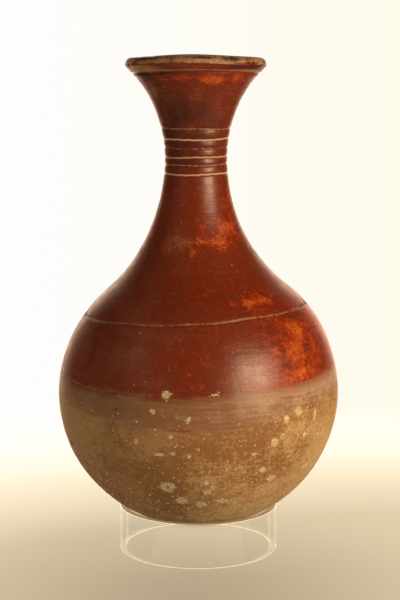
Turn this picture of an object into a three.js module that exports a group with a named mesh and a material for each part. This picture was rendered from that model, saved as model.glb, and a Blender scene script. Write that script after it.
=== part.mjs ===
// A round-bottomed pottery vase that stands in a clear display ring.
// Millimetres, +Z up. The origin is on the table, at the centre of the ring's underside.
// The photograph's viewer stands on the -Y side, with +X to the right.
import * as THREE from "three";

// Display ring, a slice of clear acrylic tube
const RING_OUTER_RADIUS = 50;
const RING_WALL = 4;
const RING_HEIGHT = 28;
const SEAT_GAP = 0.3; // between the ring's inner top edge and the belly it carries

// Belly, an oval in section with its own height above and below the widest line
const BELLY_RADIUS = 88.4;
const BELLY_DEPTH = 85.4;
const BELLY_RISE = 87.5;
const SHOULDER_ANGLE = 50.4; // degrees up the oval, where the shoulder sweeps off it

// Shoulder and neck, one concave sweep from the belly to the neck's narrowest point
const NECK_RADIUS = 19.8;
const NECK_RISE = 148.1; // the narrowest point above the belly's widest line
const SHOULDER_SWEEP = 22.8; // how far the sweep keeps the belly's slope
const NECK_SWEEP = 39; // how far it runs upright below the narrowest point

// Trumpet flare from the neck to the root of the lip
const LIP_ROOT_RADIUS = 38.9;
const FLARE_RISE = 51;
const FLARE_UPRIGHT = 25.4; // how far the flare stays upright above the narrowest point
const FLARE_OUTWARD = 7.5; // how far it holds its outward slope below the lip
const FLARE_SLOPE = 37.8; // degrees above level at the lip's root

// Lip, a thick collar with a sharp outer edge over a bevelled underside
const LIP_HEIGHT = 11.1;
const LIP_OVERHANG = 5.2; // the sharp edge beyond the root
const LIP_EDGE_RISE = 5.6; // the sharp edge above the root
const LIP_UNDERCUT = 1.1; // height of the groove between the flare and the lip
const LIP_LEDGE = 1.4; // how far the bevel's lower edge stands out from the root
const LIP_TOP_INSET = 2.6; // the top's outer corner in from the sharp edge
const LIP_ROUNDING = 1.1; // how much lower the top's corners are than its crown
const LIP_SADDLE = 0.8; // the mouth's front and back stand up and its sides sit down by this

// Walls
const WALL = 5.5;

// Lines cut into the leather-hard clay
const LINE_WIDTH = 1.4;
const LINE_DEPTH = 0.6;
const NECK_LINE_COUNT = 6;
const NECK_LINE_PITCH = 5.52;
const NECK_LINE_TOP = 17.8; // the top line above the narrowest point
const NECK_LINE_DRIFT = [0, -1, -0.7, -0.7, 0.1, 0]; // the hand's error in each line's height
const NECK_LINE_TILT = [-0.4, 0.8, 0, 1.2, 0.6, 0.6]; // degrees, right side up
const SHOULDER_LINE_RISE = 54.7; // above the belly's widest line
const SHOULDER_LINE_TILT = 2.95; // degrees, right side up

// The maker's hand: how far the round form wanders sideways from the belly's axis
const SHOULDER_SET = 1; // to the right, at the shoulder
const NECK_SET = -1.45; // to the left, from the neck up

// Facets
const AROUND = 48;
const BELLY_STEP = 10; // degrees of the oval for each row of the outside
const INNER_STEP = 14; // degrees of the oval for each row of the inside
const SWEEP_ROWS = 8;
const FLARE_ROWS = 6;
const SAMPLES = 200;

const radians = THREE.MathUtils.degToRad;
const ringInnerRadius = RING_OUTER_RADIUS - RING_WALL;

// Heights above the table. The belly rests on the ring's inner top edge.
const seatShare = Math.sqrt(1 - (ringInnerRadius / BELLY_RADIUS) ** 2);
const bellyHeight = RING_HEIGHT + SEAT_GAP + BELLY_DEPTH * seatShare;
const neckHeight = bellyHeight + NECK_RISE;
const lipRootHeight = neckHeight + FLARE_RISE;

// A point of the belly's oval, with its outward normal; angle is in degrees up from the widest line.
function bellyPoint(angle) {
  const halfHeight = angle < 0 ? BELLY_DEPTH : BELLY_RISE;
  const a = radians(angle);
  const out = new THREE.Vector2(halfHeight * Math.cos(a), BELLY_RADIUS * Math.sin(a)).normalize();
  const at = new THREE.Vector2(BELLY_RADIUS * Math.cos(a), bellyHeight + halfHeight * Math.sin(a));
  return { at, out };
}

// The sweep from the belly up to the neck's narrowest point, as radius and height.
function shoulderSweep() {
  const { at, out } = bellyPoint(SHOULDER_ANGLE);
  const along = new THREE.Vector2(-out.y, out.x);
  return new THREE.CubicBezierCurve(
    at,
    at.clone().addScaledVector(along, SHOULDER_SWEEP),
    new THREE.Vector2(NECK_RADIUS, neckHeight - NECK_SWEEP),
    new THREE.Vector2(NECK_RADIUS, neckHeight),
  );
}

// The flare from the narrowest point out to the lip's root, as radius and height.
function trumpetFlare() {
  const slope = radians(FLARE_SLOPE);
  const root = new THREE.Vector2(LIP_ROOT_RADIUS, lipRootHeight);
  const along = new THREE.Vector2(Math.cos(slope), Math.sin(slope));
  return new THREE.CubicBezierCurve(
    new THREE.Vector2(NECK_RADIUS, neckHeight),
    new THREE.Vector2(NECK_RADIUS, neckHeight + FLARE_UPRIGHT),
    root.clone().addScaledVector(along, -FLARE_OUTWARD),
    root,
  );
}

const sweep = shoulderSweep();
const flare = trumpetFlare();

// The uncut outside, from the belly's widest line up to the lip's root.
const outside = [];
for (let i = 0; i <= SAMPLES; i++) outside.push(bellyPoint((SHOULDER_ANGLE * i) / SAMPLES).at);
outside.push(...sweep.getPoints(SAMPLES), ...flare.getPoints(SAMPLES));

// The radius of the uncut outside at a height, or at its nearer end.
function radiusAt(height) {
  const above = outside.findIndex((p) => p.y > height);
  if (above < 1) return outside.at(above).x;
  const low = outside[above - 1];
  const high = outside[above];
  return THREE.MathUtils.mapLinear(height, low.y, high.y, low.x, high.x);
}

// A row is one ring of the form's points. A plain row has a height and a radius.
function plainRow(height) {
  return { height, radius: radiusAt(height) };
}

// A cut line is three rows, its two edges and its bottom, which tilt together.
function lineRows(height, tilt) {
  return [-LINE_WIDTH / 2, 0, LINE_WIDTH / 2].map((offset) => ({
    height: height + offset,
    tilt: Math.tan(radians(tilt)),
    cut: offset === 0 ? LINE_DEPTH : 0,
  }));
}

const lines = [lineRows(bellyHeight + SHOULDER_LINE_RISE, SHOULDER_LINE_TILT)];
for (let i = 0; i < NECK_LINE_COUNT; i++) {
  const drift = NECK_LINE_DRIFT[i % NECK_LINE_DRIFT.length];
  const tilt = NECK_LINE_TILT[i % NECK_LINE_TILT.length];
  lines.push(lineRows(neckHeight + NECK_LINE_TOP - i * NECK_LINE_PITCH + drift, tilt));
}

// A plain row is left out where a cut line, tilted, would run into it.
function clearOfLines(row) {
  return lines.every((line) => {
    const middle = line[1];
    const swing = radiusAt(middle.height) * Math.abs(middle.tilt);
    return Math.abs(row.height - middle.height) > LINE_WIDTH + swing;
  });
}

function outerRows() {
  const rows = [{ height: bellyHeight - BELLY_DEPTH, radius: 0 }];
  for (let angle = BELLY_STEP - 90; angle < 0; angle += BELLY_STEP) {
    const { at } = bellyPoint(angle);
    rows.push({ height: at.y, radius: at.x });
  }
  const upper = [];
  for (let angle = 0; angle < SHOULDER_ANGLE; angle += BELLY_STEP) upper.push(bellyPoint(angle).at.y);
  upper.push(...sweep.getPoints(SWEEP_ROWS).map((p) => p.y));
  upper.push(...flare.getPoints(FLARE_ROWS).slice(1, -1).map((p) => p.y));
  const rings = [...upper.map(plainRow).filter(clearOfLines), ...lines.flat()];
  rings.sort((a, b) => a.height - b.height);
  return [...rows, ...rings];
}

// The lip, from its root round the sharp edge and over the crown to the mouth.
function lipRows() {
  const edge = LIP_ROOT_RADIUS + LIP_OVERHANG;
  const top = lipRootHeight + LIP_HEIGHT;
  const mouth = innerAt(flare.getPoint(1), flare.getTangent(1));
  const crown = (edge - LIP_TOP_INSET + mouth.x) / 2;
  return [
    { radius: LIP_ROOT_RADIUS, height: lipRootHeight },
    { radius: LIP_ROOT_RADIUS, height: lipRootHeight + LIP_UNDERCUT },
    { radius: LIP_ROOT_RADIUS + LIP_LEDGE, height: lipRootHeight + LIP_UNDERCUT + LIP_LEDGE / 2 },
    { radius: edge, height: lipRootHeight + LIP_EDGE_RISE },
    { radius: edge - LIP_TOP_INSET / 3, height: top - LIP_ROUNDING * 2 },
    { radius: edge - LIP_TOP_INSET, height: top - LIP_ROUNDING / 3 },
    { radius: crown, height: top },
    { radius: mouth.x + LIP_ROUNDING, height: top - LIP_ROUNDING },
  ];
}

// The inside of the wall, across from a point of the outside.
function innerAt(point, tangent) {
  return new THREE.Vector2(point.x - WALL * tangent.y, point.y + WALL * tangent.x);
}

function innerRows() {
  const points = [];
  for (let i = FLARE_ROWS; i > 0; i--) {
    points.push(innerAt(flare.getPoint(i / FLARE_ROWS), flare.getTangent(i / FLARE_ROWS)));
  }
  for (let i = SWEEP_ROWS; i > 0; i--) {
    points.push(innerAt(sweep.getPoint(i / SWEEP_ROWS), sweep.getTangent(i / SWEEP_ROWS)));
  }
  for (let angle = SHOULDER_ANGLE; angle > -90; angle -= INNER_STEP) {
    const { at, out } = bellyPoint(angle);
    points.push(at.clone().addScaledVector(out, -WALL));
  }
  points.push(new THREE.Vector2(0, bellyHeight - BELLY_DEPTH + WALL));
  return points.map((p) => ({ radius: Math.max(p.x, 0), height: p.y }));
}

// How far the form stands to the right of the belly's axis at a height.
function wander(height) {
  const line = bellyHeight + SHOULDER_LINE_RISE;
  const spread = (neckHeight - line) / 3;
  const shoulder = SHOULDER_SET * Math.exp(-(((height - line) / spread) ** 2));
  const neck = NECK_SET * THREE.MathUtils.smoothstep(height, line, neckHeight - NECK_SWEEP);
  return shoulder + neck;
}

// The mouth is a shallow saddle, high in front and behind, which fades out down the flare.
function saddle(height, angle) {
  const share = THREE.MathUtils.smoothstep(height, neckHeight + FLARE_UPRIGHT, lipRootHeight);
  return -LIP_SADDLE * share * Math.cos(2 * angle);
}

// Places a turned row's point by hand: tilted with its line, cut, wandering and saddled.
function placeByHand(row, angle) {
  let { height, radius } = row;
  if (row.tilt !== undefined) {
    height += row.tilt * radiusAt(row.height) * Math.cos(angle);
    radius = radiusAt(height) - row.cut;
  }
  return new THREE.Vector3(
    radius * Math.cos(angle) + wander(height),
    radius * Math.sin(angle),
    height + saddle(height, angle),
  );
}

// Turns the vase as a potter does, then gives every ring of the form its hand-made place.
function vaseGeometry() {
  const rows = [...outerRows(), ...lipRows(), ...innerRows()];
  const profile = rows.map((row) => new THREE.Vector2(row.radius ?? radiusAt(row.height), row.height));
  const geometry = new THREE.LatheGeometry(profile, AROUND);
  const position = geometry.getAttribute("position");
  for (let i = 0; i < position.count; i++) {
    const turn = (Math.floor(i / rows.length) % AROUND) / AROUND;
    const point = placeByHand(rows[i % rows.length], turn * 2 * Math.PI);
    position.setXYZ(i, point.x, point.y, point.z);
  }
  geometry.computeVertexNormals();
  return geometry;
}

function ringGeometry() {
  const corners = [
    [ringInnerRadius, 0],
    [RING_OUTER_RADIUS, 0],
    [RING_OUTER_RADIUS, RING_HEIGHT],
    [ringInnerRadius, RING_HEIGHT],
    [ringInnerRadius, 0],
  ];
  const profile = corners.map(([radius, height]) => new THREE.Vector2(radius, height));
  return new THREE.LatheGeometry(profile, AROUND).rotateX(Math.PI / 2);
}

const earthenware = new THREE.MeshStandardMaterial({ color: 0x7c2c16, roughness: 0.42, metalness: 0 });
const acrylic = new THREE.MeshStandardMaterial({
  color: 0xf4f4ee,
  roughness: 0.05,
  metalness: 0,
  transparent: true,
  opacity: 0.25,
});

const vase = new THREE.Mesh(vaseGeometry(), earthenware);
vase.name = "vase";
const displayRing = new THREE.Mesh(ringGeometry(), acrylic);
displayRing.name = "display_ring";

const part = new THREE.Group();
part.add(vase, displayRing);

export default part;
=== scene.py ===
import math

import bpy
import numpy as np
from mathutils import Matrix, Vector


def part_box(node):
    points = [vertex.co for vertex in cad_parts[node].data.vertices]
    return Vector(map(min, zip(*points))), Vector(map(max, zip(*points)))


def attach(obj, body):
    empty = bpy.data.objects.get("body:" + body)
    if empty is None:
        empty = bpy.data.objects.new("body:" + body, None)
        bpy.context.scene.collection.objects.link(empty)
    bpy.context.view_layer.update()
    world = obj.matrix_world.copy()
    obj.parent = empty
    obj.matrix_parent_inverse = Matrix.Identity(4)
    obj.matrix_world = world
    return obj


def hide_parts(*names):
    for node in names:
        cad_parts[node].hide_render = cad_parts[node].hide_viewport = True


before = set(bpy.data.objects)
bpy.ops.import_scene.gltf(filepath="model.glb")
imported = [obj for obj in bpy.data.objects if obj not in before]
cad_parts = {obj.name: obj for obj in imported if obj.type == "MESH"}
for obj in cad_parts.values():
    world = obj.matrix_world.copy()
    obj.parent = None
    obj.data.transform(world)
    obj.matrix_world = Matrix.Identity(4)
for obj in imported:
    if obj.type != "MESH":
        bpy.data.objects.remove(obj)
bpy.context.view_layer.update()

# The form is worked out in millimetres, and turned to metres as a mesh is made.
MM = 0.001
vase_low, vase_high = (np.array(corner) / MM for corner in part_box("vase"))
ring_low, ring_high = (np.array(corner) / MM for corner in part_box("display_ring"))

# Belly
BELLY_RADIUS = (vase_high[1] - vase_low[1]) / 2
BELLY_DEPTH = 85.4
BELLY_RISE = 87.5
SHOULDER_ANGLE = math.radians(50.4)
BELLY_HEIGHT = vase_low[2] + BELLY_DEPTH

# Shoulder, neck and flare
NECK_RADIUS = 19.8
NECK_HEIGHT = BELLY_HEIGHT + 148.1
SHOULDER_SWEEP = 22.8
NECK_SWEEP = 39.0
FLARE_RISE = 51.0
FLARE_UPRIGHT = 25.4
FLARE_OUTWARD = 7.5
FLARE_SLOPE = math.radians(37.8)
WALL = 5.5

# Lip
LIP_ROOT_RADIUS = 38.9
LIP_ROOT_HEIGHT = NECK_HEIGHT + FLARE_RISE
LIP_HEIGHT = 11.1
LIP_UNDERCUT = 1.3
LIP_LEDGE = 1.5
LIP_EDGE_RISE = 5.6
LIP_OVERHANG = 5.2
LIP_TOP_INSET = 2.6
LIP_ROUNDING = 1.1
LIP_SADDLE = 0.8
LIP_EASING = 0.9

# Lines cut round the neck, from the top one down, and the one round the shoulder
NECK_LINE_HEIGHT = NECK_HEIGHT + 17.8
NECK_LINE_PITCH = 5.52
NECK_LINE_DRIFT = (0, -1, -0.7, -0.7, 0.1, 0)
NECK_LINE_TILT = (-0.4, 0.8, 0, 1.2, 0.6, 0.6)
NECK_LINE_SILT = (0.6, 1, 0.52, 0.9, 0.62, 1)
LINE_HALF_WIDTH = 0.7
LINE_DEPTH = 0.5
LINE_WAVER = 0.2
LINE_VALLEY_HALF_WIDTH = 1.9
LINE_VALLEY_DEPTH = 0.22
SHOULDER_LINE_HEIGHT = BELLY_HEIGHT + 54.7
SHOULDER_LINE_TILT = math.tan(math.radians(2.95))
SHOULDER_LINE_REACH = 10.0
SHOULDER_LINE_SILT = 0.6

# The maker's hand: sideways wander of the axis, and the unevenness of the skin and of the cuts
SHOULDER_SET = 1.0
NECK_SET = -1.45
SKIN = 0.06
DENT_WAVE = 46.0
DENT_DEPTH = 0.2
DENT_SEED = 1
STROKE_WAVE = 27.0
STROKE_FLATNESS = 7
STROKE_DEPTH = 0.035
STROKE_SEED = 2
CUT_WAVE = 13.0
CUT_SEED = 3

# Spacing of the mesh
AROUND = 256
BELLY_STEP = 1.9
LINE_STEP = 0.34
LIP_STEP = 0.75
INNER_STEP = 6.0

# Edge of the red slip, which dips to the front and the left, and the thin wash brushed out below it
SLIP_EDGE = 117.0
SLIP_EDGE_TILT = 2.8
SLIP_EDGE_SAG = 2.1
SLIP_EDGE_WAVE = 30.0
SLIP_EDGE_WAVER = 0.5
SLIP_EDGE_SEED = 5
SLIP_INSIDE_EDGE = LIP_ROOT_HEIGHT - 16.0
WASH_DEPTH = 11.0
WASH_FRONT_DEPTH = 9.0
WASH_FRONT = math.radians(-97)
BRUSH_FLATNESS = 14

# Slip and wash count their distance from their edges in this step, and up to so many steps
EDGE_STEP = 10.0
EDGE_STEPS = 4

# The side where the painted shadow in the lip's groove is deepest, and places on the lip as shares of its
# height
DARK_GROOVE_SIDE = math.radians(-150)
LIP_LEDGE_SHARE = 0.17
LIP_UNDERSIDE_SHARE = 0.38
LIP_WORN_SHARE = 0.5
LIP_CROWN_SHARE = 0.86

# How thickly grit lies on the clay, and how far up from the bottom it is thicker
LOW_REACH = 40.0
GRIT_ON_CLAY = 0.02
GRIT_LOW_DOWN = 0.08
GRIT_IN_DUST = 0.1
GRIT_ON_CRUSTS = 0.8

# Places on the wall: angle in degrees from the right-hand side, height, half width, half height, strength
WORN_PATCHES = {
    "right shoulder": (-36, 147, 13, 11, 0.75),
    "right of the highlight": (-45, 136, 12, 11, 0.85),
    "right, above the slip's edge": (-44, 124, 12, 6, 0.8),
    "right edge": (-4, 138, 24, 40, 0.8),
    "front shoulder, right": (-60, 167, 17, 3.4, 0.9),
    "front shoulder, middle": (-78, 163, 8, 2, 0.5),
    "neck, right": (-32, 226, 12, 22, 0.7),
    "neck foot, right": (-45, 206, 13, 11, 0.78),
    "neck foot, middle": (-66, 199, 17, 7, 0.9),
    "neck foot, left": (-95, 195, 7, 4, 0.7),
    "front of the belly": (-94, 127, 4, 3, 0.7),
    "front of the belly, left": (-86, 124, 9, 4, 0.45),
    "under the lip, left": (-124, 296.8, 6, 2.6, 0.9),
    "under the lip, front left": (-104, 297.6, 10, 3, 1.0),
    "under the lip, front": (-72, 296.8, 15, 4, 1.15),
    "under the lip, right": (-45, 297.6, 12, 4, 1.15),
    "back of the belly": (70, 150, 24, 10, 0.8),
    "back left of the belly": (125, 138, 16, 9, 0.7),
    "back of the neck": (110, 196, 13, 10, 0.7),
}
SMOKE_AND_SHADE_PATCHES = {
    # Painted shadow under the lip's left end
    "left under the lip": (-150, 299, 12, 5, 0.9),
    "left of the neck": (-165, 262, 11, 26, 0.5),
    "front of the flare": (-104, 266, 34, 38, 0.74),
    "left of the belly": (-150, 140, 26, 20, 0.35),
    "back left of the belly": (150, 130, 30, 22, 0.55),
    "low left": (-140, 60, 22, 14, 0.35),
    "low right": (-24, 52, 14, 10, 0.3),
}
CHAR_AND_SHADE_PATCHES = {
    "dark pit": (-124.4, 105, 1.3, 1.1, 1.5),
    "left edge, upper": (-159, 74.4, 1.8, 1.6, 1.4),
    "left edge, lower": (-156, 66.5, 1.6, 1.5, 1.4),
    # Painted shadow at both ends of the shoulder line, where its groove turns out of sight
    "shoulder line, left end": (-172, 152.3, 10.0, 1.0, 1.9),
    "shoulder line, right end": (-14, 159.7, 8.0, 1.0, 1.6),
    "lip, streak on the left": (-138, 309.6, 17, 1.1, 1.0),
    "lip, left, lower": (-150, 307.2, 7, 0.8, 0.8),
    "lip, front": (-84, 309.9, 12, 1.3, 0.95),
    "lip, front right": (-60, 309.6, 9, 1.8, 1.0),
    "lip, right": (-38, 307.4, 8, 1.6, 0.95),
    "lip, right end": (-14, 308.5, 4, 1.6, 1.0),
    "lip, front edge": (-90, 305.6, 12, 0.5, 0.9),
}
RED_PATCHES = {
    "under the wash, middle": (-97, 95.5, 12, 1.2, 1.0),
    "under the wash, left": (-108, 98.5, 7, 1.0, 0.7),
    "under the wash, right": (-84, 97.5, 6, 0.9, 0.6),
    "flecks, left": (-122, 86, 7, 5, 0.5),
    "lip, front": (-86, 304.6, 19, 1.3, 1.1),
    "back": (60, 96, 14, 1.3, 0.9),
}
DUST_AND_SHEEN_PATCHES = {
    # The lip's ends: painted reflection of the white room on the left underside, painted highlight on the
    # right ledge
    "lip, left end": (-148, 303.6, 19, 2.6, 1.5),
    "lip, right end": (-35, 302.6, 16, 1.2, 0.9),
    # Painted reflection on the flare's left
    "under the lip, left": (-146, 291, 5, 7, 0.7),
    "neck foot, left": (-111, 199, 15, 9, 0.6),
    # Painted sheen on the belly's left
    "left of the belly": (-118, 138, 8, 7, 0.4),
    # Painted highlight: the belly's highlight carried down over the wash
    "belly, at the slip's edge": (-64, 114, 14, 3.2, 0.55),
    "left edge, bare clay": (-176, 76, 17, 28, 1.1),
    "low front": (-84, 50, 15, 7, 0.6),
    "low left": (-124, 52, 20, 17, 0.75),
    "low, far right": (-40, 60, 14, 10, 0.45),
}

# Lime: as above, and how bare the patch's middle is
LIME_PATCHES = {
    "largest, at the slip's edge": (-102.6, 116.7, 3.4, 3.2, 1.1, 0.2),
    "left of the middle": (-107.4, 106.3, 2.4, 2.8, 1.0, 0.7),
    "small, in the middle": (-93.8, 102.8, 1.9, 2.5, 1.0, 0.0),
    "right, round": (-47.1, 102.6, 3.4, 3.2, 1.1, 0.4),
    "right, below it": (-53.4, 98.6, 3.2, 4.2, 1.0, 0.3),
    "right edge, long": (-36.7, 96.1, 2.8, 7.6, 1.0, 0.3),
    "right edge, low": (-42.4, 86.5, 2.7, 3.0, 1.05, 0.5),
    "right edge, thin": (-28, 83, 2.2, 5.5, 1.0, 0.2),
    "right, scattered": (-58.4, 85.3, 4.0, 4.0, 1.0, 0.3),
    "right, beside it": (-54.7, 88.3, 2.6, 2.6, 1.05, 0.8),
    "scratch at the slip's edge": (-83.7, 117, 2.8, 1.1, 0.95, 0.0),
    "low left ring": (-103.8, 57.9, 5.6, 5.0, 1.15, 0.9),
    "low left, under it": (-98, 48.4, 4.6, 4.2, 1.1, 0.4),
    "low tick, top": (-86.6, 62, 1.6, 3.2, 1.1, 0.0),
    "low tick, right": (-83.6, 58.6, 1.5, 3.6, 1.1, 0.0),
    "low tick, bottom": (-85.9, 54.5, 3.4, 2.5, 1.1, 0.3),
    "low, under the middle": (-88.1, 45.5, 4.4, 3.0, 1.1, 0.4),
    "low right": (-78, 48.1, 4.4, 2.8, 1.1, 0.3),
    "left, mid height": (-114.8, 87.2, 1.9, 3.2, 1.0, 0.2),
    "left of the middle, mid height": (-100.8, 91.9, 2.0, 2.0, 0.95, 0.0),
    "left, flat": (-105.6, 80.4, 4.6, 1.7, 1.0, 0.2),
    "middle, flat": (-99.9, 81.3, 2.4, 1.5, 1.0, 0.0),
    "middle, mid height": (-93.6, 79.7, 1.8, 1.6, 1.0, 0.0),
    "middle, above it": (-90, 84.3, 1.4, 1.6, 0.8, 0.0),
    "right of low, upper": (-62.1, 68.3, 3.2, 3.4, 1.05, 0.4),
    "right of low, lower": (-55.7, 60.7, 3.6, 3.4, 1.1, 0.4),
    "right, low": (-67.2, 79.2, 2.2, 2.2, 1.0, 0.3),
    "right edge, lowest": (-35.1, 63.9, 4.4, 3.4, 0.95, 0.4),
    "back, at the slip's edge": (84, 112, 4.0, 3.0, 1.0, 0.3),
    "back right": (38, 92, 5.0, 6.0, 0.9, 0.8),
    "back left": (131, 72, 6.0, 5.0, 0.9, 0.5),
    "back, low": (97, 52, 9.0, 4.0, 0.85, 0.0),
    "left side": (178, 84, 6.0, 5.0, 0.85, 0.3),
}

# Chips and flaked places: angle, height, half width and depth
SPALLS = {
    "under the largest crust": (-102.6, 116.7, 2.8, 0.45),
    "left of the middle": (-107.4, 106.3, 1.7, 0.35),
    "dark pit": (-124.4, 105, 1.2, 0.5),
    "left edge, upper": (-159, 74.4, 1.8, 0.5),
    "left edge, lower": (-156, 66.5, 1.6, 0.5),
    "right, round": (-47.1, 102.6, 2.4, 0.35),
    "low left": (-103.8, 57.9, 4.5, 0.35),
    "shoulder line, left end": (-174, 152.2, 1.8, 1.2),
    "shoulder line, right end": (-6, 159.7, 1.8, 1.2),
    "lip, left": (-158, 306, 1.9, 0.5),
    "lip, front": (-101, 306.5, 1.3, 0.35),
    "lip, right": (-33, 307, 1.6, 0.4),
    "lip, back": (70, 306, 2.2, 0.5),
    "back of the belly": (60, 84, 3.0, 0.5),
}

# Crusts of lime: how far and over what length the edge strays, and how a crust's middle is bared
CRUST_STRAY = 1.8
CRUST_STRAY_WAVE = 5.0
CRUST_BARE_REACH = 0.5
CRUST_BARE_DEPTH = 2.2

# Grains of lime stuck to the bare clay and the crusts
GRAIN_SMALL = 0.2
GRAIN_LARGE = 0.75
GRAIN_SHAPE = (1.0, 0.8, 0.3)
GRAINS_PER_SQUARE_METRE = 900000.0
GRAIN_SEED = 4

# Display ring, and how upright the normal of a face is that counts as flat
RING_WALL = 4.0
RING_EDGE_EASING = 0.3
RING_EDGE_CUTS = 3
RING_AROUND = 192
RING_FLAT = 0.95

# Floor, in metres. It lies just under the ring, not in it.
FLOOR_DROP = 0.0001
FLOOR_REACH = 3.0
FLOOR_POOL_CENTRE = (0.12, -0.35, 0.0)
FLOOR_POOL_RADII = (0.55, 0.8)
# Painted shadow of the vase: the floor's glow dims round this centre to the least share
FLOOR_SHADE_CENTRE = (0.0, -0.1, 0.0)
FLOOR_SHADE_RADIUS = 0.22
FLOOR_SHADE_LEAST = 0.58

# Lights: place, the point that they face, width and height, all in metres, then energy and colour, and
# whether they show in the shine
LIGHTS = {
    "soft_box": ((0.468, -0.452, 0.30), (0, 0, 0.13), (0.28, 0.29), 4.6, "#ffdcb2", True),
    "fill": ((-0.85, -0.65, 0.6), (0, 0, 0.15), (0.9, 0.9), 3.5, "#fff1df", False),
    "rim_left": ((-0.45, 0.62, 0.2), (0, 0, 0.12), (0.12, 0.6), 5.0, "#ffeed6", False),
    "rim_right": ((0.45, 0.62, 0.2), (0, 0, 0.12), (0.12, 0.6), 4.2, "#ffe6c8", False),
}

# The room, as the shine sees it: dim, and bright where a direction points behind the vase. To the eye it
# is white, and a little warmer to the right.
ROOM_DIM = 0.05
ROOM_BRIGHT = 3.0
ROOM_BRIGHT_FROM = 0.78
ROOM_WARM_FROM = -0.16
ROOM_WARM_TO = 0.2

# Camera, fitted to the photograph, in metres, with its lens and frame in millimetres
CAMERA_PLACE = (0.0011, -1.007, 0.317)
CAMERA_DOWN = math.radians(8.9)
CAMERA_LENS = 97.2
CAMERA_FRAME = 36.0


# Outline of the form, as radius and height

def cubic(start, start_pull, end_pull, end, count=400):
    """A curve from start to end that leaves towards one pull and arrives from the other."""
    t = np.linspace(0, 1, count)[:, None]
    s = 1 - t
    corners = [np.array(p, float) for p in (start, start_pull, end_pull, end)]
    return s**3 * corners[0] + 3 * s * s * t * corners[1] + 3 * s * t * t * corners[2] + t**3 * corners[3]


def outer_outline():
    """The outside from the bottom up to the lip's root."""
    angle = np.linspace(-math.pi / 2, SHOULDER_ANGLE, 500)
    half_height = np.where(angle < 0, BELLY_DEPTH, BELLY_RISE)
    belly = np.column_stack([BELLY_RADIUS * np.cos(angle), BELLY_HEIGHT + half_height * np.sin(angle)])
    along = np.array([-BELLY_RADIUS * math.sin(SHOULDER_ANGLE), BELLY_RISE * math.cos(SHOULDER_ANGLE)])
    along /= np.linalg.norm(along)
    waist = (NECK_RADIUS, NECK_HEIGHT)
    shoulder = cubic(
        belly[-1],
        belly[-1] + along * SHOULDER_SWEEP,
        (NECK_RADIUS, NECK_HEIGHT - NECK_SWEEP),
        waist,
    )
    root = np.array([LIP_ROOT_RADIUS, LIP_ROOT_HEIGHT])
    outward = np.array([math.cos(FLARE_SLOPE), math.sin(FLARE_SLOPE)])
    flare = cubic(waist, (NECK_RADIUS, NECK_HEIGHT + FLARE_UPRIGHT), root - outward * FLARE_OUTWARD, root)
    return np.vstack([belly, shoulder[1:], flare[1:]])


def inner_outline(outer):
    """The inside of the wall, from the mouth down to the bottom."""
    along = np.gradient(outer, axis=0)
    along /= np.linalg.norm(along, axis=1)[:, None]
    inside = outer - WALL * np.column_stack([along[:, 1], -along[:, 0]])
    inside[0] = (0, outer[0, 1] + WALL)
    return np.maximum(inside, 0)[::-1]


def lip_outline(root, mouth):
    """Round the lip from its root to the mouth, with every corner eased."""
    edge = LIP_ROOT_RADIUS + LIP_OVERHANG
    top = LIP_ROOT_HEIGHT + LIP_HEIGHT
    crown = (edge - LIP_TOP_INSET + mouth[0]) / 2
    corners = [
        root,
        (LIP_ROOT_RADIUS - 0.1, LIP_ROOT_HEIGHT + LIP_UNDERCUT),
        (LIP_ROOT_RADIUS + LIP_LEDGE, LIP_ROOT_HEIGHT + LIP_UNDERCUT + 0.3),
        (edge, LIP_ROOT_HEIGHT + LIP_EDGE_RISE),
        (edge - LIP_TOP_INSET / 3, top - LIP_ROUNDING * 2),
        (edge - LIP_TOP_INSET, top - LIP_ROUNDING / 3),
        (crown, top),
        (mouth[0] + LIP_ROUNDING, top - LIP_ROUNDING),
        mouth,
    ]
    corners = np.array(corners, float)
    eased = [corners[0]]
    for before, corner, after in zip(corners, corners[1:], corners[2:]):
        come = before - corner
        leave = after - corner
        come *= min(LIP_EASING / np.linalg.norm(come), 0.45)
        leave *= min(LIP_EASING / np.linalg.norm(leave), 0.45)
        for t in (0, 0.25, 0.5, 0.75, 1):
            eased.append(corner + come * (1 - t) ** 2 + leave * t**2)
    eased.append(corners[-1])
    return np.array(eased)


def spaced(outline, step):
    """Points along an outline, each about step(height) from the last, with both ends kept."""
    lengths = np.hypot(*np.diff(outline, axis=0).T)
    middles = (outline[1:, 1] + outline[:-1, 1]) / 2
    count = np.concatenate([[0], np.cumsum(lengths / step(middles))])
    even = np.linspace(0, count[-1], int(round(count[-1])) + 1)
    return np.column_stack([np.interp(even, count, outline[:, i]) for i in (0, 1)])


neck_lines = [
    (NECK_LINE_HEIGHT - i * NECK_LINE_PITCH + drift, math.tan(math.radians(tilt)))
    for i, (drift, tilt) in enumerate(zip(NECK_LINE_DRIFT, NECK_LINE_TILT))
]


def outer_step(height):
    """The outside's mesh is coarse, and fine where a line is cut."""
    lines = np.array([line for line, _ in neck_lines] + [SHOULDER_LINE_HEIGHT])
    nearest = np.abs(np.asarray(height)[:, None] - lines).min(axis=1)
    return np.interp(nearest, [1.3, 3.0], [LINE_STEP, BELLY_STEP])


# Hand-made places, on arrays with a row for each turn of the form and a column for each angle

def wander(height):
    """How far the form stands to the right of the belly's axis at a height."""
    spread = (NECK_HEIGHT - SHOULDER_LINE_HEIGHT) / 3
    shoulder = SHOULDER_SET * np.exp(-(((height - SHOULDER_LINE_HEIGHT) / spread) ** 2))
    reach = (height - SHOULDER_LINE_HEIGHT) / (NECK_HEIGHT - NECK_SWEEP - SHOULDER_LINE_HEIGHT)
    share = np.clip(reach, 0, 1)
    return shoulder + NECK_SET * share * share * (3 - 2 * share)


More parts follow.
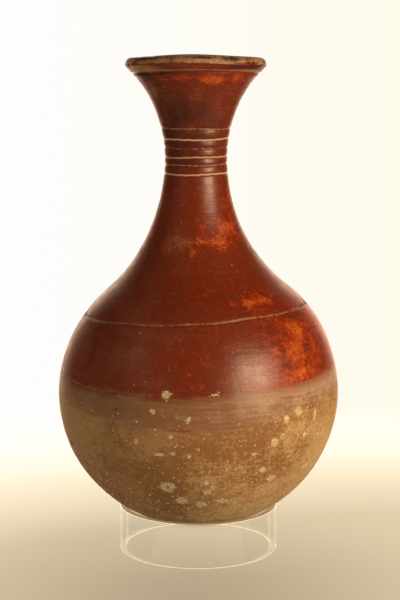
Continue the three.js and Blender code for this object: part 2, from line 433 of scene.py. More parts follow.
def saddle(height, angle):
    """The mouth is a shallow saddle, high in front and behind."""
    share = np.clip((height - NECK_HEIGHT - FLARE_UPRIGHT) / (FLARE_RISE - FLARE_UPRIGHT), 0, 1)
    return -LIP_SADDLE * share * share * (3 - 2 * share) * np.cos(2 * angle)


def ripple(points, wave, seed, count=9):
    """A smooth random field, about -1 to 1: plane waves of one length in random directions."""
    rng = np.random.default_rng(seed)
    ways = rng.normal(size=(count, 3))
    ways *= 2 * math.pi / wave / np.linalg.norm(ways, axis=1)[:, None]
    return np.cos(points @ ways.T + rng.uniform(0, 2 * math.pi, count)).sum(-1) / math.sqrt(2 * count)


def patch(angle, height, radius, centre_angle, centre_height, half_width, half_height):
    """1 at a patch's centre and 0 well past its edge, measured over the surface."""
    turn = np.angle(np.exp(1j * (angle - math.radians(centre_angle))))
    return np.exp(-((radius * turn / half_width) ** 2) - ((height - centre_height) / half_height) ** 2)


def cut_lines(angle, height, radius):
    """The cut lines at each place: how deep in the cut, in its worn valley, and how much silt is left."""
    middles = [
        line
        + tilt * radius * np.cos(angle)
        + LINE_WAVER * (np.sin(3 * angle + 2.1 * i) + 0.5 * np.sin(19 * angle + 4.3 * i))
        for i, (line, tilt) in enumerate(neck_lines)
    ]
    shoulder = SHOULDER_LINE_HEIGHT + SHOULDER_LINE_TILT * radius * np.cos(angle)
    middles.append(shoulder + LINE_WAVER * (np.sin(5 * angle) + np.sin(11 * angle + 1)))
    cut = np.zeros_like(height)
    valley = np.zeros_like(height)
    silt = np.zeros_like(height)
    for middle, share in zip(middles, (*NECK_LINE_SILT, SHOULDER_LINE_SILT)):
        here = np.exp(-(((height - middle) / LINE_HALF_WIDTH) ** 2))
        wide = np.exp(-(((height - middle) / LINE_VALLEY_HALF_WIDTH) ** 2))
        cut = np.maximum(cut, here)
        valley = np.maximum(valley, wide * (height > NECK_HEIGHT - NECK_SWEEP))
        silt = np.maximum(silt, here * share)
    return cut, valley, silt


# Meshes

def piece_from(name, vertices, faces):
    """A smooth-shaded piece at the origin, from places in millimetres."""
    mesh = bpy.data.meshes.new(name)
    mesh.from_pydata((vertices * MM).tolist(), [], faces)
    mesh.shade_smooth()
    piece = bpy.data.objects.new(name, mesh)
    bpy.context.collection.objects.link(piece)
    return piece


def finish_fields(angle, height, radius, is_outer, is_inner):
    """What the finish follows at each place: slip, wash, wear, smoke and painted shade, char and painted
    shadow, red, dust with painted reflections and highlights, lime, and silt with a painted highlight.
    """
    round_place = np.stack([radius * np.cos(angle), radius * np.sin(angle), height], -1)
    edge = SLIP_EDGE + SLIP_EDGE_TILT * np.cos(angle) + SLIP_EDGE_SAG * np.cos(2 * angle)
    edge = edge + SLIP_EDGE_WAVER * ripple(round_place, SLIP_EDGE_WAVE, SLIP_EDGE_SEED)
    slip = np.where(is_inner, height - SLIP_INSIDE_EDGE, height - edge) / EDGE_STEP
    front = np.exp(4 * (np.cos(angle - WASH_FRONT) - 1))
    wash = slip + np.where(is_inner, 0.6, WASH_DEPTH + WASH_FRONT_DEPTH * front) / EDGE_STEP

    # Painted shadow in the groove under the lip, most of it on the front left, painted shade on the lip's
    # underside, most of it on the other side, and a little char on the crown
    lip_share = (height - LIP_ROOT_HEIGHT) / LIP_HEIGHT
    is_lip = ~is_outer & ~is_inner
    leftward = 0.5 + 0.5 * np.cos(angle - DARK_GROOVE_SIDE)
    painted_groove_shadow = np.exp(-(((height - LIP_ROOT_HEIGHT - 0.3) / 0.9) ** 2)) * (0.2 + 0.85 * leftward**3)
    underside = np.exp(-(((lip_share - LIP_UNDERSIDE_SHARE) / 0.14) ** 2))
    painted_lip_underside_shade = is_lip * underside * (1.15 - 0.75 * leftward**2)
    crown = is_lip * np.clip((lip_share - LIP_CROWN_SHARE) / 0.1, 0, 1) * (0.4 + 0.2 * leftward)

    fields = {
        "slip_reach": np.clip(slip, -EDGE_STEPS, EDGE_STEPS),
        "wash_reach": np.clip(wash, -EDGE_STEPS, EDGE_STEPS),
        "lip_wear": is_lip * np.clip((lip_share - LIP_WORN_SHARE) / 0.12, 0, 1),
        # A painted highlight along the lip's ledge, joined below with the silt of the cut lines
        "silt_and_ledge_highlight": is_lip * 0.7 * np.exp(-(((lip_share - LIP_LEDGE_SHARE) / 0.05) ** 2)),
    }
    groups = {
        "worn": WORN_PATCHES,
        "smoked_and_shaded": SMOKE_AND_SHADE_PATCHES,
        "charred_and_shaded": CHAR_AND_SHADE_PATCHES,
        "reddened": RED_PATCHES,
        "dust_and_sheen": DUST_AND_SHEEN_PATCHES,
        "gritted": LIME_PATCHES,
    }
    for field, patches in groups.items():
        found = np.zeros_like(angle)
        for *place, strength in (row[:5] for row in patches.values()):
            found = np.maximum(found, strength * patch(angle, height, radius, *place))
        fields[field] = found * ~is_inner
    # The lip's painted underside shade and groove shadow join the smoke and char
    fields["smoked_and_shaded"] = np.maximum(fields["smoked_and_shaded"], painted_lip_underside_shade)
    fields["charred_and_shaded"] = np.maximum.reduce([fields["charred_and_shaded"], painted_groove_shadow * ~is_inner, crown])
    bare = np.clip(-slip - 0.4, 0, 1) * ~is_inner
    low = np.exp(-(((height - vase_low[2]) / LOW_REACH) ** 2))
    grit = bare * (GRIT_ON_CLAY + GRIT_LOW_DOWN * low + GRIT_IN_DUST * fields["dust_and_sheen"] * low)
    fields["gritted"] = np.clip(grit + GRIT_ON_CRUSTS * fields["gritted"] ** 4, 0, 1)
    return fields


def vase_piece():
    """The whole fired piece, outside, lip and inside, as one closed turned skin."""
    outer_dense = outer_outline()
    inner_dense = inner_outline(outer_dense)
    outer = spaced(outer_dense, outer_step)
    lip = spaced(lip_outline(outer[-1], inner_dense[0]), lambda h: np.full_like(h, LIP_STEP))
    inner = spaced(inner_dense, lambda h: np.full_like(h, INNER_STEP))
    rows = np.vstack([outer, lip[1:], inner[1:]])[1:-1]
    along = np.gradient(rows, axis=0)
    along /= np.linalg.norm(along, axis=1)[:, None]
    is_outer = (np.arange(len(rows)) < len(outer) - 1)[:, None]
    is_inner = (np.arange(len(rows)) >= len(outer) + len(lip) - 2)[:, None]

    angle = np.arange(AROUND)[None, :] * 2 * math.pi / AROUND + np.zeros((len(rows), 1))
    radius = rows[:, :1] + np.zeros_like(angle)
    height = rows[:, 1:] + np.zeros_like(angle)

    # The fine rows of the mesh near the line round the shoulder tilt with it
    follow = np.exp(-(((height - SHOULDER_LINE_HEIGHT) / SHOULDER_LINE_REACH) ** 2))
    height = height + is_outer * follow * SHOULDER_LINE_TILT * radius * np.cos(angle)
    rising = outer_dense[outer_dense[:, 1] > BELLY_HEIGHT]
    radius = np.where(follow * is_outer > 1e-4, np.interp(height, rising[:, 1], rising[:, 0]), radius)

    # How far the skin lies below the drawn form: cuts, their worn edges, dents, strokes and chips
    cut, valley, silt = (lines * is_outer for lines in cut_lines(angle, height, radius))
    round_place = np.stack([radius * np.cos(angle), radius * np.sin(angle), height], -1)
    flat_place = round_place * (1, 1, STROKE_FLATNESS)
    depth = SKIN + LINE_DEPTH * cut * (0.8 + 0.2 * ripple(round_place, CUT_WAVE, CUT_SEED))
    depth = depth + LINE_VALLEY_DEPTH * valley
    depth = depth + DENT_DEPTH * (1 + ripple(round_place, DENT_WAVE, DENT_SEED)) * ~is_inner
    depth = depth + STROKE_DEPTH * (1 + ripple(flat_place, STROKE_WAVE, STROKE_SEED)) * ~is_inner
    for centre_angle, centre_height, half_width, spall_depth in SPALLS.values():
        spall = patch(angle, height, radius, centre_angle, centre_height, half_width, half_width)
        depth = depth + spall_depth * spall * ~is_inner

    # The skin at its depth, on an axis that wanders
    out_radius = radius - depth * along[:, 1:]
    out_height = height + depth * along[:, :1]
    vertices = np.stack(
        [
            out_radius * np.cos(angle) + wander(out_height),
            out_radius * np.sin(angle),
            out_height + saddle(out_height, angle),
        ],
        -1,
    ).reshape(-1, 3)
    bottom = (0, 0, outer[0, 1] + SKIN + DENT_DEPTH)
    floor_inside = (0, 0, inner[-1, 1])
    vertices = np.vstack([vertices, bottom, floor_inside])

    here = np.arange(len(rows) * AROUND).reshape(len(rows), AROUND)
    beside = np.roll(here, -1, axis=1)
    faces = np.stack([here[:-1], beside[:-1], beside[1:], here[1:]], -1).reshape(-1, 4).tolist()
    last = len(vertices) - 1
    faces += [(beside[0, k], here[0, k], last - 1) for k in range(AROUND)]
    faces += [(here[-1, k], beside[-1, k], last) for k in range(AROUND)]
    piece = piece_from("red_slipped_vase", vertices, faces)

    finish = finish_fields(angle, height, radius, is_outer, is_inner)
    # The silt of the cut lines joins the ledge's painted highlight
    finish["silt_and_ledge_highlight"] = np.maximum(finish["silt_and_ledge_highlight"], silt)
    for field, values in finish.items():
        ends = (values[0].mean(), values[-1].mean())
        attribute = piece.data.attributes.new(field, "FLOAT", "POINT")
        attribute.data.foreach_set("value", np.append(values.ravel(), ends).astype(np.float32))
    return piece


# Trees of nodes

def colour(code):
    """An sRGB hex colour as the linear values that a socket takes."""
    channels = [int(code[i : i + 2], 16) / 255 for i in (1, 3, 5)]
    return [c / 12.92 if c <= 0.04045 else ((c + 0.055) / 1.055) ** 2.4 for c in channels] + [1.0]


def add(tree, kind, inputs=(), stops=(), **settings):
    """Adds a node with its settings, and sets or links its inputs, each given by name or by place. The
    stops of a ramp are places with sRGB hex colours."""
    node = tree.nodes.new(kind)
    for name, value in settings.items():
        setattr(node, name, value)
    for key, value in dict(inputs).items():
        shown = [socket for socket in node.inputs if socket.enabled]
        socket = shown[key] if isinstance(key, int) else next(s for s in shown if s.name == key)
        if isinstance(value, bpy.types.Node):
            value = next(s for s in value.outputs if s.enabled)
        if isinstance(value, bpy.types.NodeSocket):
            tree.links.new(value, socket)
        else:
            socket.default_value = value
    if stops:
        ramp = node.color_ramp.elements
        while len(ramp) < len(stops):
            ramp.new(1.0)
        for element, (place, code) in zip(ramp, stops):
            element.position = place
            element.color = colour(code)
    return node


def grown(name, start, tree, **values):
    """Runs a tree of geometry nodes on a start mesh, and returns the result as a plain piece."""
    piece = bpy.data.objects.new(name, start)
    bpy.context.collection.objects.link(piece)
    modifier = piece.modifiers.new("grow", "NODES")
    modifier.node_group = tree
    for item in tree.interface.items_tree:
        if item.name in values:
            modifier[item.identifier] = values[item.name]
    done = piece.evaluated_get(bpy.context.evaluated_depsgraph_get())
    mesh = bpy.data.meshes.new_from_object(done)
    piece.modifiers.remove(modifier)
    piece.data = mesh
    return piece


def growing_tree(name, **inputs):
    """An empty tree of geometry nodes with a geometry in and out, and named inputs for its sizes."""
    tree = bpy.data.node_groups.new(name, "GeometryNodeTree")
    tree.interface.new_socket("Geometry", in_out="INPUT", socket_type="NodeSocketGeometry")
    for socket, kind in inputs.items():
        tree.interface.new_socket(socket, in_out="INPUT", socket_type=kind)
    tree.interface.new_socket("Geometry", in_out="OUTPUT", socket_type="NodeSocketGeometry")
    return tree


def ring_tree(wall_material, highlight_edge_material, clay_reflection_material):
    """A slice of tube: its section, with eased edges, swept round a circle. A painted highlight that glows
    lies on the outer edges in front and the inner edges behind, and the flat top carries a painted
    reflection of the clay above it."""
    kinds = dict.fromkeys(("Middle_Radius", "Wall", "Height", "Edge_Easing"), "NodeSocketFloat")
    tree = growing_tree("ring_slice", **kinds)
    given = add(tree, "NodeGroupInput").outputs
    circle = add(
        tree,
        "GeometryNodeCurvePrimitiveCircle",
        {"Resolution": RING_AROUND, "Radius": given["Middle_Radius"]},
    )
    section = add(
        tree,
        "GeometryNodeCurvePrimitiveQuadrilateral",
        {"Width": given["Wall"], "Height": given["Height"]},
    )
    eased = add(
        tree,
        "GeometryNodeFilletCurve",
        {"Curve": section, "Radius": given["Edge_Easing"], "Count": RING_EDGE_CUTS},
        mode="POLY",
    )
    swept = add(tree, "GeometryNodeCurveToMesh", {"Curve": circle, "Profile Curve": eased})
    half = add(tree, "ShaderNodeMath", {0: given["Height"], 1: 0.5}, operation="MULTIPLY")
    lift = add(tree, "ShaderNodeCombineXYZ", {"Z": half})
    raised = add(tree, "GeometryNodeTransform", {"Geometry": swept, "Translation": lift})
    real = add(tree, "GeometryNodeRealizeInstances", {"Geometry": raised})
    walls = add(tree, "GeometryNodeSetMaterial", {"Geometry": real, "Material": wall_material})
    normal = add(tree, "ShaderNodeSeparateXYZ", {"Vector": add(tree, "GeometryNodeInputNormal")})
    facing = add(tree, "ShaderNodeMath", {0: normal.outputs["Z"]}, operation="ABSOLUTE")
    is_edge = add(
        tree,
        "FunctionNodeCompare",
        {"A": facing, "B": 0.5, "Epsilon": RING_FLAT - 0.5},
        operation="EQUAL",
    )
    position = add(tree, "GeometryNodeInputPosition")
    place = add(tree, "ShaderNodeSeparateXYZ", {"Vector": position}).outputs
    level = add(tree, "ShaderNodeCombineXYZ", {"X": place["X"], "Y": place["Y"]})
    reach = add(tree, "ShaderNodeVectorMath", {0: level}, operation="LENGTH").outputs["Value"]
    is_outer = add(tree, "FunctionNodeCompare", {"A": reach, "B": given["Middle_Radius"]})
    is_behind = add(tree, "FunctionNodeCompare", {"A": place["Y"], "B": 0.0})
    # Outer edges in front and inner edges behind get the glowing painted highlight
    faces_painted_light = add(tree, "FunctionNodeBooleanMath", {0: is_outer, 1: is_behind}, operation="XOR")
    gets_painted_highlight = add(tree, "FunctionNodeBooleanMath", {0: is_edge, 1: faces_painted_light}, operation="AND")
    edged = add(
        tree,
        "GeometryNodeSetMaterial",
        {"Geometry": walls, "Selection": gets_painted_highlight, "Material": highlight_edge_material},
    )
    # The flat top gets a painted reflection of the clay above it
    is_flat = add(tree, "FunctionNodeCompare", {"A": facing, "B": RING_FLAT})
    is_high = add(tree, "FunctionNodeCompare", {"A": place["Z"], "B": half})
    is_top = add(tree, "FunctionNodeBooleanMath", {0: is_flat, 1: is_high}, operation="AND")
    topped = add(
        tree,
        "GeometryNodeSetMaterial",
        {"Geometry": edged, "Selection": is_top, "Material": clay_reflection_material},
    )
    add(tree, "NodeGroupOutput", {"Geometry": topped})
    return tree


# Fired clay

def per(size):
    """The scale of a pattern whose features are a size in millimetres."""
    return 1000 / size


def empty_material(name):
    """A material with nothing in its tree of nodes yet."""
    material = bpy.data.materials.new(name)
    material.use_nodes = True
    material.node_tree.nodes.clear()
    return material


def vase_material():
    """Earthenware: open-bodied buff clay, hand-formed and fired in an open fire, with a red slip of
    ochre clay burnished with a pebble. The burnish gives the slip a soft, streaked shine, and the bare
    clay below stays dull, mottled and gritty."""
    material = empty_material("burnished_red_slip_on_buff_earthenware")
    tree = material.node_tree
    place = add(tree, "ShaderNodeTexCoord").outputs["Object"]
    flat = add(tree, "ShaderNodeMapping", {"Vector": place, "Scale": (1, 1, BRUSH_FLATNESS)})
    axes = add(tree, "ShaderNodeSeparateXYZ", {"Vector": place}).outputs
    # x points right, toward the soft box; slip, wash, lip and clay grow paler that way, partly painted
    # light
    toward_soft_box, upward = axes["X"], axes["Z"]
    field = {
        name: add(tree, "ShaderNodeAttribute", attribute_name=name).outputs["Fac"]
        for name in (
            "slip_reach",
            "wash_reach",
            "worn",
            "smoked_and_shaded",
            "charred_and_shaded",
            "reddened",
            "dust_and_sheen",
            "silt_and_ledge_highlight",
            "lip_wear",
        )
    }

    # Size in millimetres, detail and roughness of each pattern. The clay's sand is finer than a
    # millimetre, and is drawn at a millimetre so that it shows.
    cloud, mottle, grain, sand, streak, brush = (
        add(
            tree,
            "ShaderNodeTexNoise",
            {"Vector": where, "Scale": per(size), "Detail": detail, "Roughness": roughness},
        )
        for where, size, detail, roughness in (
            (place, 42, 3, 0.5),
            (place, 9, 5, 0.6),
            (place, 2.4, 4, 0.7),
            (place, 1.0, 2, 0.6),
            (flat, 26, 6, 0.65),
            (flat, 9, 3, 0.6),
        )
    )

    def blend(start, *terms):
        """A weighted sum of fields, on top of a start value."""
        total = start
        for term, weight in terms:
            total = add(tree, "ShaderNodeMath", {0: term, 1: weight, 2: total}, operation="MULTIPLY_ADD")
        return total

    def cover(start, terms, low, high, most=1.0):
        """How fully a layer lies: a sum of fields, taken smoothly from 0 at low to most at high."""
        inputs = {"Value": blend(start, *terms), "From Min": low, "From Max": high, "To Max": most}
        return add(tree, "ShaderNodeMapRange", inputs, interpolation_type="SMOOTHSTEP")

    def broken(mask, by, weight, low, high, most):
        """A layer that follows one field, with an edge that a noise breaks up."""
        return cover(-weight / 2, [(by, weight), (field[mask], 1.0)], low, high, most)

    def spots(patches):
        """How near each place is to the middle of a patch: its strength there, less where the middle is
        bare, and about 0 at its edge."""
        scale = per(CRUST_STRAY_WAVE)
        noise = add(tree, "ShaderNodeTexNoise", {"Vector": place, "Scale": scale, "Detail": 3})
        stirring = {0: noise.outputs["Color"], 1: (CRUST_STRAY * MM,) * 3, 2: place}
        stirred = add(tree, "ShaderNodeVectorMath", stirring, operation="MULTIPLY_ADD")
        outline = outer_outline()
        nearest = 0.0
        for turn, height, half_width, half_height, strength, bareness in patches.values():
            reach = np.interp(height, outline[:, 1], outline[:, 0])
            turn = math.radians(turn)
            middle = np.array([reach * math.cos(turn) + wander(height), reach * math.sin(turn), height])
            size = np.array([half_width, half_width, half_height])
            shrinking = {0: stirred, 1: tuple(1 / (size * MM))}
            shrunk = add(tree, "ShaderNodeVectorMath", shrinking, operation="MULTIPLY")
            ends = {0: shrunk, 1: tuple((middle + CRUST_STRAY / 2) / size)}
            away = add(tree, "ShaderNodeVectorMath", ends, operation="DISTANCE").outputs["Value"]
            near = add(tree, "ShaderNodeMath", {0: strength, 1: away}, operation="SUBTRACT")
            if bareness:
                inward = add(tree, "ShaderNodeMath", {0: CRUST_BARE_REACH, 1: away}, operation="SUBTRACT")
                hollow = add(tree, "ShaderNodeMath", {0: inward, 1: 0.0}, operation="MAXIMUM")
                near = blend(near, (hollow, -CRUST_BARE_DEPTH * bareness))
            nearest = add(tree, "ShaderNodeMath", {0: nearest, 1: near}, operation="MAXIMUM")
        return nearest

    # Red slip: brown where smoke reached it, red where it is thick, orange where it is worn thin, and paler
    # and oranger to the right, partly its own colour and partly painted light from the soft box
    wear = cover(-1.1, [(brush, 0.4), (mottle, 1.3), (grain, 0.5), (field["worn"], 1.0)], 0.2, 1.1)
    slip_tone = blend(
        -0.77,
        (toward_soft_box, 2.2),
        (upward, -0.4),
        (cloud, 0.6),
        (mottle, 0.45),
        (streak, 0.3),
        (brush, 0.2),
        (grain, 0.6),
        (sand, 0.5),
        (wear, 0.3),
    )
    slip = add(
        tree,
        "ShaderNodeValToRGB",
        {"Fac": slip_tone},
        stops=[
            (0.1, "#634032"),
            (0.3, "#763a26"),
            (0.46, "#68260f"),
            (0.58, "#71260b"),
            (0.7, "#8d320d"),
            (0.84, "#a2420f"),
            (1.0, "#ba6028"),
        ],
    )
    flecks = broken("worn", sand, 3.0, 1.1, 1.7, 0.45)
    # Pale pink specks on the slip, fewer higher up, which also paint a soft sheen
    specks_and_sheen = cover(-0.55, [(sand, 0.9), (grain, 0.7), (mottle, 0.2), (upward, -0.8)], 0.24, 0.62, 0.3)

    # Crumbs of grit that show through the slip: one in three at its edge, and fewer the higher they are
    crumbs = add(tree, "ShaderNodeTexVoronoi", {"Vector": place, "Scale": per(3.4)})
    chance = add(tree, "ShaderNodeSeparateColor", {"Color": crumbs.outputs["Color"]}).outputs["Red"]
    chosen = cover(0.0, [(chance, 1.0), (field["slip_reach"], -0.08)], 0.66, 0.68)
    crumb = cover(0.0, [(crumbs.outputs["Distance"], 1.0)], 0.2, 0.06, 0.65)
    crumb = add(tree, "ShaderNodeMath", {0: crumb, 1: chosen}, operation="MULTIPLY")
    crumb_tint = add(
        tree,
        "ShaderNodeValToRGB",
        {"Fac": chance},
        stops=[(0.66, "#8f4028"), (0.88, "#a8603f"), (1.0, "#dcb894")],
    )

    # Bare clay: buff, browned in clouds by the fire, paler to the right, partly painted light from the soft
    # box, and paler low down
    clay_tone = blend(
        -0.09,
        (toward_soft_box, 2.1),
        (upward, -2.2),
        (cloud, 0.35),
        (mottle, 0.25),
        (streak, 0.15),
        (grain, 0.4),
        (sand, 0.35),
    )
    clay = add(
        tree,
        "ShaderNodeValToRGB",
        {"Fac": clay_tone},
        stops=[
            (0.1, "#947450"),
            (0.34, "#a1794c"),
            (0.49, "#805429"),
            (0.63, "#ad8a5c"),
            (0.74, "#bfa47a"),
            (0.86, "#cebb92"),
            (1.0, "#d8c8a6"),
        ],
    )

    # Below the slip's edge a thin wash is brushed out in grey-brown streaks, paler to the right, partly
    # painted sheen from the soft box
    uneven = ((streak, 1.6), (mottle, 0.8), (grain, 0.4))
    slipped = cover(-1.4, [(field["slip_reach"], 1.0), *uneven], -0.42, 0.22)
    washed = cover(-1.4, [(field["wash_reach"], 1.0), *uneven], -0.5, 0.5, 0.8)
    wash = add(
        tree,
        "ShaderNodeValToRGB",
        {"Fac": blend(-0.25, (toward_soft_box, 2.6), (streak, 0.6), (mottle, 0.5), (grain, 0.4))},
        stops=[(0.15, "#83604b"), (0.45, "#785036"), (0.85, "#b49a84")],
    )

    # Wear on the lip, smears of red, fire clouds and painted shade under the lip, char and painted shadow
    # in the groove under it and at the shoulder line's ends, dust with painted reflections and highlights,
    # pale silt in the cut lines with a painted highlight on the lip's ledge, and lime from the ground
    lip_loss = broken("lip_wear", mottle, 2.4, 0.6, 0.85, 0.92)
    red = broken("reddened", streak, 1.4, 0.3, 0.85, 0.75)
    # Fire clouds, and painted shade on the lip's underside and under its left end
    smoke_with_shade = broken("smoked_and_shaded", mottle, 1.6, 0.25, 1.0, 0.8)
    # Char, and painted shadow in the groove under the lip and at the shoulder line's ends
    char_with_shadow = broken("charred_and_shaded", grain, 2.2, 0.46, 0.76, 0.85)
    # Dust, and painted reflections and highlights on the lip's ends, the flare's left, the belly's left and
    # below its highlight
    dust = cover(-1.0, [(mottle, 1.2), (sand, 0.8), (field["dust_and_sheen"], 1.0)], 0.25, 1.1, 0.7)
    # Silt in the cut lines, and a painted highlight along the lip's ledge
    silt = broken("silt_and_ledge_highlight", grain, 1.3, 0.32, 0.66, 0.85)
    crust = cover(-0.5, [(grain, 0.6), (sand, 0.4), (spots(LIME_PATCHES), 1.0)], 0.2, 0.5, 0.75)
    # The lip's worn clay, paler to the right, partly painted light from the soft box
    lip_tint = add(
        tree,
        "ShaderNodeValToRGB",
        {"Fac": blend(-0.8, (toward_soft_box, 1.4), (mottle, 1.2), (grain, 1.0), (sand, 0.4))},
        stops=[(0.15, "#b08a6c"), (0.5, "#92683f"), (0.85, "#ccb28c")],
    )
    silt_and_highlight_tint = add(
        tree,
        "ShaderNodeValToRGB",
        {"Fac": field["silt_and_ledge_highlight"]},
        stops=[(0.52, "#8b6a48"), (0.9, "#cda790")],
    )
    crust_tint = add(
        tree,
        "ShaderNodeValToRGB",
        {"Fac": grain},
        stops=[(0.35, "#ab9468"), (0.62, "#d8cba6")],
    )
    specks_and_sheen = add(tree, "ShaderNodeMath", {0: specks_and_sheen, 1: slipped}, operation="MULTIPLY")
    crumb = add(tree, "ShaderNodeMath", {0: crumb, 1: slipped}, operation="MULTIPLY")
    base = clay
    for mask, tint in (
        (washed, wash),
        (slipped, slip),
        (specks_and_sheen, colour("#9a5a44")),
        (flecks, colour("#c88448")),
        (crumb, crumb_tint),
        (lip_loss, lip_tint),
        (dust, colour("#b07f50")),
        (smoke_with_shade, colour("#3b2017")),
        (red, colour("#7d3320")),
        (silt, silt_and_highlight_tint),
        (char_with_shadow, colour("#2e1e16")),
        (crust, crust_tint),
    ):
        base = add(tree, "ShaderNodeMix", {"Factor": mask, "A": base, "B": tint}, data_type="RGBA")

    # Shine: burnished slip against dull clay, silt and lime
    dull = add(tree, "ShaderNodeMath", {0: silt, 1: crust}, operation="MAXIMUM")
    dull = add(tree, "ShaderNodeMath", {0: dull, 1: lip_loss}, operation="MAXIMUM")
    shine = add(tree, "ShaderNodeMath", {0: 1.0, 1: dull}, operation="SUBTRACT")
    rubbed = add(tree, "ShaderNodeMath", {0: slipped, 1: washed}, operation="MAXIMUM")
    shine = add(tree, "ShaderNodeMath", {0: shine, 1: rubbed}, operation="MULTIPLY")
    burnish = blend(-0.016, (mottle, 0.35), (streak, 0.2), (grain, 0.15), (upward, 0.1))
    roughness = add(tree, "ShaderNodeMix", {"Factor": shine, "A": 0.62, "B": burnish}, data_type="FLOAT")
    relief = blend(0.0, (sand, 0.25), (grain, 0.35), (streak, 0.6), (crust, 0.8), (mottle, 0.4))
    bump = add(tree, "ShaderNodeBump", {"Strength": 0.6, "Distance": 0.0003, "Height": relief})
    shader = add(
        tree,
        "ShaderNodeBsdfPrincipled",
        {"Base Color": base, "Roughness": roughness, "IOR": 1.5, "Normal": bump},
    )
    add(tree, "ShaderNodeOutputMaterial", {"Surface": shader})
    return material


def lime_material():
    """Lime that ground water left on the clay: chalky and quite dull, with buff dust in it."""
    material = empty_material("chalky_lime")
    tree = material.node_tree
    place = add(tree, "ShaderNodeTexCoord").outputs["Object"]
    dust = add(tree, "ShaderNodeTexNoise", {"Vector": place, "Scale": per(2.5), "Detail": 3})
    shade = add(tree, "ShaderNodeValToRGB", {"Fac": dust}, stops=[(0.35, "#a58c65"), (0.6, "#cbb78f")])
    shader = add(tree, "ShaderNodeBsdfPrincipled", {"Base Color": shade, "Roughness": 0.9})
    add(tree, "ShaderNodeOutputMaterial", {"Surface": shader})
    return material


def grain_tree(material):
    """Grains of lime strewn over a surface as thickly as its own attribute says, flat side down."""
    kinds = dict.fromkeys(("Grains_Per_Square_Metre", "Smallest", "Largest"), "NodeSocketFloat")
    tree = growing_tree("lime_grains", **kinds, Seed="NodeSocketInt")
    given = add(tree, "NodeGroupInput").outputs
    thickness = add(tree, "GeometryNodeInputNamedAttribute", {"Name": "gritted"}, data_type="FLOAT")
    density = add(
        tree,
        "ShaderNodeMath",
        {0: thickness.outputs["Attribute"], 1: given["Grains_Per_Square_Metre"]},
        operation="MULTIPLY",
    )
    strewn = add(
        tree,
        "GeometryNodeDistributePointsOnFaces",
        {"Mesh": given["Geometry"], "Density": density, "Seed": given["Seed"]},
    )
    lump = add(tree, "GeometryNodeMeshIcoSphere", {"Radius": 1.0, "Subdivisions": 1})
    flake = add(tree, "GeometryNodeTransform", {"Geometry": lump.outputs["Mesh"], "Scale": GRAIN_SHAPE})
    size = add(
        tree,
        "FunctionNodeRandomValue",
        {"Min": given["Smallest"], "Max": given["Largest"], "Seed": given["Seed"]},
        data_type="FLOAT",
    )
    spin = add(
        tree,
        "FunctionNodeRandomValue",
        {"Max": 2 * math.pi, "Seed": given["Seed"]},
        data_type="FLOAT",
    )
    turn = add(tree, "ShaderNodeCombineXYZ", {"Z": spin})
    turned = add(
        tree,
        "FunctionNodeRotateRotation",
        {"Rotation": strewn.outputs["Rotation"], "Rotate By": turn},
        rotation_space="LOCAL",
    )
    grains = add(
        tree,
        "GeometryNodeInstanceOnPoints",
        {"Points": strewn.outputs["Points"], "Instance": flake, "Rotation": turned, "Scale": size},
    )
    real = add(tree, "GeometryNodeRealizeInstances", {"Geometry": grains})
    finished = add(tree, "GeometryNodeSetMaterial", {"Geometry": real, "Material": material})
    add(tree, "NodeGroupOutput", {"Geometry": finished})
    return tree


def acrylic_material(name, tint, roughness, alpha, painted_glow=0.0):
    """Cast acrylic tube, water-clear: the polished wall hardly shows, its eased edges carry a painted
    highlight that glows, and its flat top a painted reflection of what stands on it."""
    material = empty_material(name)
    shader = add(
        material.node_tree,
        "ShaderNodeBsdfPrincipled",
        {
            "Base Color": colour(tint),
            "Roughness": roughness,
            "IOR": 1.49,
            "Transmission Weight": 1.0,
            "Alpha": alpha,
            "Emission Color": colour(tint),
            "Emission Strength": painted_glow,
        },
    )
    add(material.node_tree, "ShaderNodeOutputMaterial", {"Surface": shader})
    return material


# The studio

def floor_piece():
    """A pale floor that fades into the white of the room behind the vase, with a painted shadow of the vase
    that dims its glow in front.
    """
    corners = np.array([(-1, -1, 0), (1, -1, 0), (1, 1, 0), (-1, 1, 0)]) * FLOOR_REACH
    corners[:, 2] = -FLOOR_DROP
    floor = piece_from("floor", corners / MM, [(0, 1, 2, 3)])
    material = empty_material("pale_paper")
    tree = material.node_tree
    place = add(tree, "ShaderNodeTexCoord").outputs["Object"]
    away, near = (
        add(tree, "ShaderNodeVectorMath", {0: place, 1: centre}, operation="DISTANCE").outputs["Value"]
        for centre in (FLOOR_POOL_CENTRE, FLOOR_SHADE_CENTRE)
    )
    kept = add(
        tree,
        "ShaderNodeMapRange",
        {"Value": away, "From Min": FLOOR_POOL_RADII[1], "From Max": FLOOR_POOL_RADII[0]},
        interpolation_type="SMOOTHSTEP",
    )
    # Painted shadow of the vase, dimming the floor's glow in front of it
    shade = add(
        tree,
        "ShaderNodeMapRange",
        {"Value": near, "From Max": FLOOR_SHADE_RADIUS, "To Min": FLOOR_SHADE_LEAST},
        interpolation_type="SMOOTHSTEP",
    )
    tint = add(
        tree,
        "ShaderNodeValToRGB",
        {"Fac": away},
        stops=[(0.42, "#cdbea0"), (0.52, "#eddfc2"), (0.58, "#f7efd9"), (0.7, "#fdfaf0")],
    )
    shader = add(
        tree,
        "ShaderNodeBsdfPrincipled",
        {
            "Base Color": colour("#5f5b50"),
            "Roughness": 0.8,
            "Alpha": kept,
            "Emission Color": tint,
            "Emission Strength": shade,
        },
    )
    add(tree, "ShaderNodeOutputMaterial", {"Surface": shader})
    floor.data.materials.append(material)
    floor.visible_glossy = False
    return floor


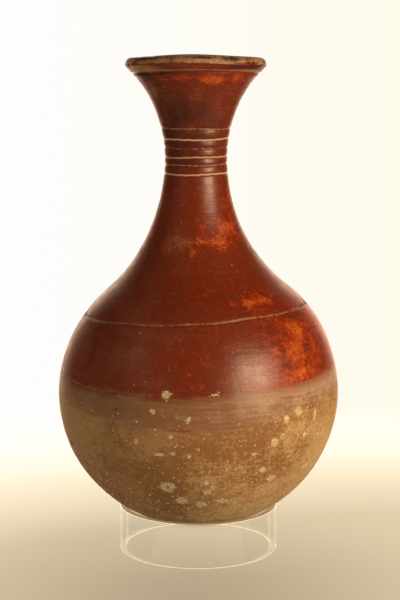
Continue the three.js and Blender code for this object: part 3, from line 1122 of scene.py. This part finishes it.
def area_light(name, place, aim, size, energy, tint, in_shine):
    """A soft rectangular light at a place, turned towards a point."""
    lamp = bpy.data.lights.new(name, "AREA")
    lamp.shape = "RECTANGLE"
    lamp.size, lamp.size_y = size
    lamp.energy = energy
    lamp.color = colour(tint)[:3]
    light = bpy.data.objects.new(name, lamp)
    light.location = place
    light.rotation_euler = (Vector(place) - Vector(aim)).to_track_quat("Z", "Y").to_euler()
    light.visible_glossy = in_shine
    bpy.context.collection.objects.link(light)


def pale_room():
    """The room all round: white to the eye, and in the shine dim with a bright part behind the vase."""
    world = bpy.data.worlds.new("pale_room")
    world.use_nodes = True
    tree = world.node_tree
    tree.nodes.clear()
    direction = add(tree, "ShaderNodeTexCoord").outputs["Generated"]
    way = add(tree, "ShaderNodeSeparateXYZ", {"Vector": direction}).outputs
    behind = add(
        tree,
        "ShaderNodeMapRange",
        {
            "Value": way["Y"],
            "From Min": ROOM_BRIGHT_FROM,
            "From Max": 1.0,
            "To Min": ROOM_DIM,
            "To Max": ROOM_BRIGHT,
        },
        interpolation_type="SMOOTHSTEP",
    )
    warm = add(
        tree,
        "ShaderNodeMapRange",
        {"Value": way["X"], "From Min": ROOM_WARM_FROM, "From Max": ROOM_WARM_TO},
        interpolation_type="SMOOTHSTEP",
    )
    rays = add(tree, "ShaderNodeLightPath").outputs
    clear = add(
        tree,
        "ShaderNodeMath",
        {0: rays["Is Camera Ray"], 1: rays["Is Transmission Ray"]},
        operation="MAXIMUM",
    )
    strength = add(tree, "ShaderNodeMix", {"Factor": clear, "A": behind, "B": 1.0}, data_type="FLOAT")
    seen = add(
        tree,
        "ShaderNodeMix",
        {"Factor": warm, "A": colour("#fdfdfd"), "B": colour("#fdf9e7")},
        data_type="RGBA",
    )
    tint = add(
        tree,
        "ShaderNodeMix",
        {"Factor": clear, "A": colour("#ffe0c0"), "B": seen},
        data_type="RGBA",
    )
    light = add(tree, "ShaderNodeBackground", {"Color": tint, "Strength": strength})
    add(tree, "ShaderNodeOutputWorld", {"Surface": light})
    bpy.context.scene.world = world
    bpy.context.scene.view_settings.view_transform = "Standard"


def camera():
    """A long lens on the front, looking a little down."""
    lens = bpy.data.cameras.new("front_view")
    lens.sensor_fit = "VERTICAL"
    lens.sensor_height = CAMERA_FRAME
    lens.lens = CAMERA_LENS
    viewer = bpy.data.objects.new("front_view", lens)
    viewer.location = CAMERA_PLACE
    viewer.rotation_euler = (math.pi / 2 - CAMERA_DOWN, 0, 0)
    bpy.context.collection.objects.link(viewer)
    bpy.context.scene.camera = viewer


vase = vase_piece()
vase.data.materials.append(vase_material())
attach(vase, "root")
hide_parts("vase")

grains = grown(
    "lime_grains",
    vase.data.copy(),
    grain_tree(lime_material()),
    Grains_Per_Square_Metre=GRAINS_PER_SQUARE_METRE,
    Smallest=GRAIN_SMALL * MM,
    Largest=GRAIN_LARGE * MM,
    Seed=GRAIN_SEED,
)
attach(grains, "root")

ring = grown(
    "clear_display_ring",
    bpy.data.meshes.new("ring_start"),
    ring_tree(
        acrylic_material("clear_polished_acrylic", "#fbf8ef", 0.02, 0.06),
        # Painted highlight: the eased edges glow
        acrylic_material("acrylic_edge_painted_highlight", "#fff3da", 0.4, 0.75, painted_glow=0.75),
        # Painted reflection of the clay in the flat top, which glows a little
        acrylic_material("acrylic_top_painted_clay_reflection", "#8a6740", 0.3, 0.9, painted_glow=0.22),
    ),
    Middle_Radius=(ring_high[0] - RING_WALL / 2) * MM,
    Wall=RING_WALL * MM,
    Height=(ring_high[2] - ring_low[2]) * MM,
    Edge_Easing=RING_EDGE_EASING * MM,
)
ring.data.shade_smooth()
ring.visible_shadow = False
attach(ring, "root")
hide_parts("display_ring")

floor_piece()
for light, settings in LIGHTS.items():
    area_light(light, *settings)
pale_room()
camera()
